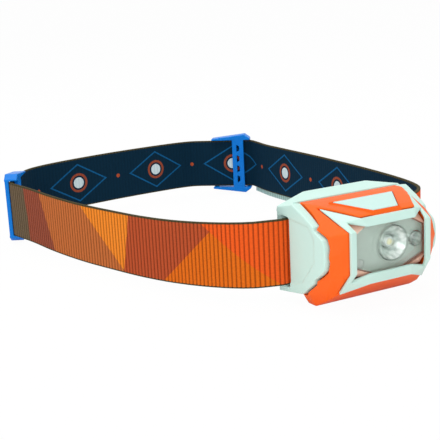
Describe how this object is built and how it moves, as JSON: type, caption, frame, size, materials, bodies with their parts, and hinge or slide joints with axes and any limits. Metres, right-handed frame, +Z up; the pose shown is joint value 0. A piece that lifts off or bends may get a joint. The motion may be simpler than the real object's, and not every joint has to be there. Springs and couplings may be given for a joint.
{
  "type": "headlamp",
  "caption": "Headlamp: a lamp that tilts in its bracket, with a push button on top, on an elastic headband with adjusting sliders.",
  "frame": {"origin": "middle of the flat strip under the lamp housing, on the table it rests on", "axes": "+Y from the lamp to the back of the headband, +Z up, +X to the right as seen from in front of the lamp"},
  "size_m": [0.1458, 0.2133, 0.0385],
  "materials": {
    "mint_plastic": "satin moulded plastic",
    "mint_button": "satin moulded button",
    "orange_plastic": "satin moulded plastic",
    "webbing": "ribbed elastic webbing with printed colour blocks",
    "pale_webbing": "ribbed elastic webbing",
    "blue_plastic": "moulded plastic",
    "clear_window": "clear polycarbonate",
    "clear_lens": "clear acrylic",
    "grey_panel": "satin moulded plastic",
    "silicone": "soft silicone",
    "white_led": "phosphor under silicone",
    "red_led": "coloured package",
    "green_board": "solder mask",
    "aluminium": "rolled sheet",
    "steel": "zinc plated",
    "black_plastic": "moulded plastic",
    "contact_brass": "plated spring strip",
    "battery_wrap": "shrink wrap",
    "grey_plastic": "moulded plastic"
  },
  "bodies": {
    "band": {"bracket": "mint_plastic", "headband": "webbing", "band_tail": "pale_webbing", "slider_left": "blue_plastic"},
    "lamp": {"bezel": "mint_plastic", "housing": "orange_plastic", "window": "clear_window", "main_lens": "clear_lens", "flood_lens": "clear_lens", "lens_panel": "grey_panel", "window_gasket": "silicone", "door_gasket": "silicone", "main_led": "white_led", "flood_led": "white_led", "red_led": "red_led", "circuit_board": "green_board", "heat_spreader": "aluminium", "board_screw_right": "steel", "board_screw_left": "steel", "tactile_switch": "black_plastic", "battery_tray": "black_plastic", "battery_contact_plus": "contact_brass", "battery_contact_minus": "contact_brass", "battery_pack": "battery_wrap", "battery_door": "grey_plastic"},
    "button": {"power_button": "mint_button"},
    "slider": {"slider_right": "blue_plastic"}
  },
  "joints": [
    {"name": "lamp_tilt", "type": "hinge", "parent": "band", "child": "lamp", "pos_m": [0, 0.00275, 0.0077], "axis": [1, 0, 0], "range_deg": [0, 45]},
    {"name": "button_press", "type": "slide", "parent": "lamp", "child": "button", "axis": [0, 0, -1], "range_m": [0, 0.0008], "stiffness_N_per_m": 800, "springref_m": -0.002},
    {"name": "slider_slide", "type": "slide", "parent": "band", "child": "slider", "axis": [-0.788, 0.6157, 0], "range_m": [0, 0.006]}
  ]
}
